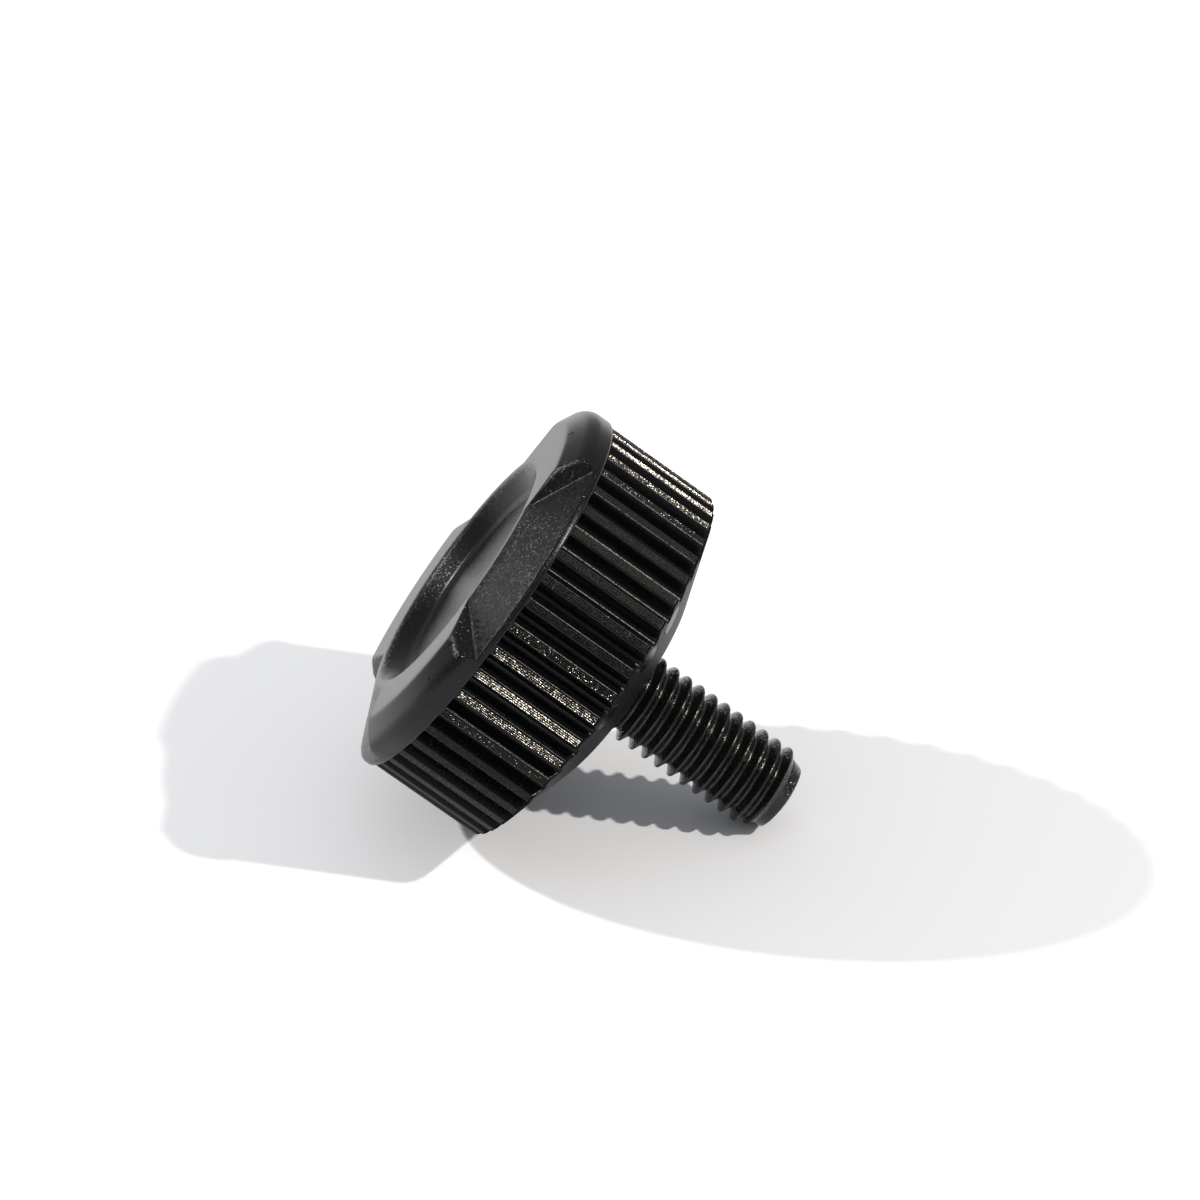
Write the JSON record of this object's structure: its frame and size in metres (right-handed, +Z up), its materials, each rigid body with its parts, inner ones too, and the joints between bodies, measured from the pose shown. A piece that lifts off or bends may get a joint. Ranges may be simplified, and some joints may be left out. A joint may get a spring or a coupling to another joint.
{
  "type": "thumb screw",
  "caption": "Thumb screw with a fluted, three-lobed moulded head on a short threaded stud, for clamping or levelling by hand, lying on its side.",
  "frame": {"origin": "middle of the screw's box on the surface it lies on", "axes": "+Z up from that surface, +X level from the head towards the stud's point, +Y to the side"},
  "size_m": [0.0283, 0.0262, 0.0265],
  "materials": {
    "grip_head": "satin",
    "threaded_stud": "satin"
  },
  "bodies": {
    "root": {"grip_head": "grip_head", "threaded_stud": "threaded_stud"}
  },
  "joints": []
}
